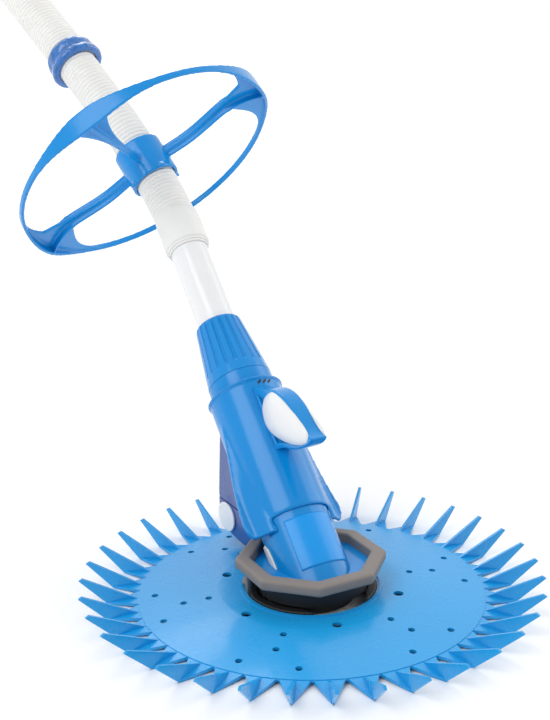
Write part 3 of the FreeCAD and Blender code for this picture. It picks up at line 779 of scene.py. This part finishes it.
class CLEANER_OT_pads(PieceOperator):
    """Foot pad, black on its lower front as painted shade, and the white pads with softened edges"""
    bl_idname = "cleaner.pads"
    bl_label = "Pads"

    def build(self):
        foot = moulded("foot_pad", "foot_pad_moulding", 0.0011, 4, "head", "pad")
        # Painted shade: the foot pad's faces below the lip on its front half take the black finish,
        # where the pad lies in shadow at the disc.
        foot.data.materials.append(finishes["black"])
        lip_bottom, recess_back = 0.0285, 0.012
        for face in foot.data.polygons:
            if face.center.z < lip_bottom and face.center.y < recess_back:
                face.material_index = 1
        for side in ("left", "right"):
            self.eye(side)
            moulded("nose_pad_" + side, "nose_grip_" + side, 0.0004, 3, "head", "white")
            moulded("heel_oval_" + side, "heel_button_" + side, 0.0005, 6, "head", "white")

    def eye(self, side):
        """White dome over a side of the hood; its outline is (height over the tube, way along it)."""
        sign = -1 if side == "left" else 1
        corners = [(60, 144), (48, 144.5), (38, 138), (35, 125), (43, 110), (62, 92),
                   (80, 80.5), (93, 77.5), (97, 85), (90, 104), (81, 124), (69.5, 139.5)]  # mm
        outline = smooth_loop(corners, 8)
        centre = sum(outline, Vector((0, 0))) / len(outline)
        seat, edge, crown, steps = 7.0, 0.9, 5.0, 10
        mesh = bmesh.new()

        def corner(out, point):
            return mesh.verts.new(on_tube(sign * out * MM, point.x * MM, point.y * MM))

        rows = [[corner(seat, point) for point in outline]]
        for k in range(steps):
            turn = math.radians(90 * k / steps)
            reach = math.cos(turn) ** 0.8
            out = seat + edge + crown * math.sin(turn)
            rows.append([corner(out, centre + (point - centre) * reach) for point in outline])
        for here, there in zip(rows, rows[1:]):
            bridge(mesh, here, there)
        mesh.faces.new(rows[0])
        tip = corner(seat + edge + crown, centre)
        last = rows[-1]
        for here, there in zip(last, last[1:] + last[:1]):
            mesh.faces.new((here, there, tip))
        data = from_bmesh(mesh, "hood_eye_" + side)
        data.shade_smooth()
        piece = new_piece("hood_eye_" + side, data)
        dress(piece, "white")
        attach(piece, "head")
        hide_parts("hood_pad_" + side)


class CLEANER_OT_slots(PieceOperator):
    """Short black strips in the collar above the hood, painted shade for the dark insides of its
    slots
    """
    bl_idname = "cleaner.slots"
    bl_label = "Collar slots"
    starts = (-1, 8, 17)                # degrees round the tube
    length, rise = 6.0, 0.0024          # degrees, and how far a slot climbs over them

    def build(self):
        mesh = bmesh.new()
        inner, outer, low, high = 0.0335, 0.0354, 0.1680, 0.1702
        for start in self.starts:
            sections = []
            for share in (0.0, 0.33, 0.67, 1.0):
                a = math.radians(start + self.length * share)
                sections.append([round_tube(r, a, t + self.rise * share) for r, t in (
                    (inner, low), (outer, low), (outer, high), (inner, high))])
            strip(mesh, sections, False)
        piece = new_piece("collar_slot_shadows", from_bmesh(mesh, "collar_slot_shadows"))
        # Painted shade: solid black strips stand for the shadowed openings of the slots.
        dress(piece, "black")
        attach(piece, "head")


class CLEANER_OT_label(PieceOperator):
    """Blank data panel on the nose"""
    bl_idname = "cleaner.label"
    bl_label = "Blank panel"

    def build(self):
        radius, film, low, high, spread = 0.0324, 0.0003, -0.010, 0.037, 42.0
        rows, columns = 24, 40
        mesh = bmesh.new()

        def corner(layer, i, j):
            a = math.radians(spread * (2 * j / columns - 1))
            t = low + (high - low) * i / rows
            return mesh.verts.new(round_tube(radius + layer * film, a, t))

        def on_border(i, j):
            return (i in (1, rows - 2) and 0 < j < columns - 1
                    or j in (1, columns - 2) and 0 < i < rows - 1)

        places = [[[corner(layer, i, j) for j in range(columns + 1)] for i in range(rows + 1)]
                  for layer in (0, 1)]
        for layer, grid in enumerate(places):
            for i in range(rows):
                for j in range(columns):
                    face = mesh.faces.new((grid[i][j], grid[i][j + 1],
                                           grid[i + 1][j + 1], grid[i + 1][j]))
                    face.material_index = int(layer == 1 and on_border(i, j))
        edges = ([(i, 0) for i in range(rows)] + [(rows, j) for j in range(columns)]
                 + [(i, columns) for i in range(rows, 0, -1)]
                 + [(0, j) for j in range(columns, 0, -1)])
        for here, there in zip(edges, edges[1:] + edges[:1]):
            mesh.faces.new((places[0][here[0]][here[1]], places[0][there[0]][there[1]],
                            places[1][there[0]][there[1]], places[1][here[0]][here[1]]))
        data = from_bmesh(mesh, "blank_panel")
        data.shade_smooth()
        panel = new_piece("blank_panel", data)
        dress(panel, "label")
        # The border reuses the deeper blue that is painted shade on the rear fairing.
        panel.data.materials.append(finishes["rear"])
        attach(panel, "head")


class CLEANER_OT_stage(PieceOperator):
    """Pale floor, soft lights and camera"""
    bl_idname = "cleaner.stage"
    bl_label = "Stage"
    floor_reach = 60.0
    glow_start, glow_rise, glow = 1.0, 0.4, 0.45    # the floor turns white away from the cleaner
    bright_side = (0.46, 0.89, 0.0)                 # the studio is brightest this way
    studio = ((0.0, (0.22, 0.24, 0.28, 1.0)), (0.12, (0.50, 0.51, 0.53, 1.0)),
              (0.50, (0.78, 0.79, 0.80, 1.0)), (0.80, (1.0, 1.0, 1.0, 1.0)))
    aim = Vector((0.0, 0.15, 0.15))
    lamps = (("key", (-1.5, -0.5, 1.7), 1.5, 20.0), ("fill", (1.9, -0.2, 1.0), 1.6, 10.0),
             ("back", (0.4, 1.9, 1.8), 1.0, 7.0))       # name, place, size, power
    lens, camera_roll = 57.73, -1.126
    camera_at = Vector((-0.45229, -0.81596, 0.46845))
    camera_target = Vector((0.05653, 0.17056, 0.16782))

    def build(self):
        self.floor()
        self.world()
        self.lights()
        self.camera()
        bpy.context.scene.view_settings.view_transform = "Standard"

    def floor(self):
        r = self.floor_reach
        mesh = bpy.data.meshes.new("floor")
        mesh.from_pydata([(-r, -r, 0), (r, -r, 0), (r, r, 0), (-r, r, 0)], [], [(0, 1, 2, 3)])
        floor = new_piece("floor", mesh)
        graph = Graph("floor_pale")
        cloud = graph.noise(1.5, 2.0)
        length = graph.add("ShaderNodeVectorMath", {"operation": "LENGTH"}, {0: graph.place()})
        distance = Signal(graph, length.outputs["Value"])
        far = graph.blend_colours(((distance - self.glow_start) * self.glow_rise).clamped(),
                                  (0.0, 0.0, 0.0), (1.0, 1.0, 1.0))
        tint = graph.blend_colours(cloud, (0.95, 0.95, 0.95), (0.97, 0.97, 0.97))
        mesh.materials.append(graph.finish(Base_Color=tint, Roughness=0.6, Emission_Color=far,
                                           Emission_Strength=self.glow))

    def world(self):
        sky = Graph("studio", world=True)
        facing = sky.add("ShaderNodeVectorMath", {"operation": "DOT_PRODUCT"},
                         {0: sky.place("Generated"), 1: self.bright_side})
        share = Signal(sky, facing.outputs["Value"]) * 0.5 + 0.5
        shade = sky.add("ShaderNodeValToRGB", {"stops": self.studio}, {0: share})
        colour = Signal(sky, shade.outputs["Color"])
        bpy.context.scene.world = sky.finish(Color=colour, Strength=1.0)

    def lights(self):
        for name, place, size, power in self.lamps:
            lamp = bpy.data.lights.new(name, "AREA")
            lamp.energy = power
            lamp.size = size
            holder = new_piece(name, lamp)
            holder.location = place
            holder.rotation_euler = (self.aim - Vector(place)).to_track_quat("-Z", "Y").to_euler()

    def camera(self):
        camera = bpy.data.cameras.new("camera")
        camera.lens = self.lens
        camera.sensor_width = 36.0
        camera.sensor_fit = "AUTO"
        look = (self.camera_target - self.camera_at).to_track_quat("-Z", "Y").to_matrix().to_4x4()
        roll = Matrix.Rotation(math.radians(self.camera_roll), 4, "Z")
        holder = new_piece("camera", camera)
        holder.matrix_world = Matrix.Translation(self.camera_at) @ look @ roll
        bpy.context.scene.camera = holder


class CLEANER_PT_panel(bpy.types.Panel):
    """Lists the cleaner's builders and settings."""
    bl_idname = "CLEANER_PT_panel"
    bl_label = "Pool cleaner"
    bl_space_type = "VIEW_3D"
    bl_region_type = "UI"
    bl_category = "Cleaner"

    def draw(self, context):
        layout = self.layout
        for operator in BUILD_ORDER:
            layout.operator(operator.bl_idname)
        for group in (context.scene.cleaner_sizes, context.scene.cleaner_colours):
            for key in group.bl_rna.properties.keys():
                if key not in ("rna_type", "name"):
                    layout.prop(group, key)


BUILD_ORDER = (
    CLEANER_OT_finishes, CLEANER_OT_weight, CLEANER_OT_hose, CLEANER_OT_wheel, CLEANER_OT_nut,
    CLEANER_OT_shells, CLEANER_OT_pads, CLEANER_OT_slots, CLEANER_OT_label, CLEANER_OT_stage)
CLASSES = (CleanerSizes, CleanerColours) + BUILD_ORDER + (CLEANER_PT_panel,)


def register():
    for cls in CLASSES:
        bpy.utils.register_class(cls)
    bpy.types.Scene.cleaner_sizes = PointerProperty(type=CleanerSizes)
    bpy.types.Scene.cleaner_colours = PointerProperty(type=CleanerColours)


def unregister():
    del bpy.types.Scene.cleaner_colours
    del bpy.types.Scene.cleaner_sizes
    for cls in reversed(CLASSES):
        bpy.utils.unregister_class(cls)


def main():
    register()
    for operator in BUILD_ORDER:
        space, name = operator.bl_idname.split(".")
        getattr(getattr(bpy.ops, space), name)()


if __name__ == "__main__":
    main()
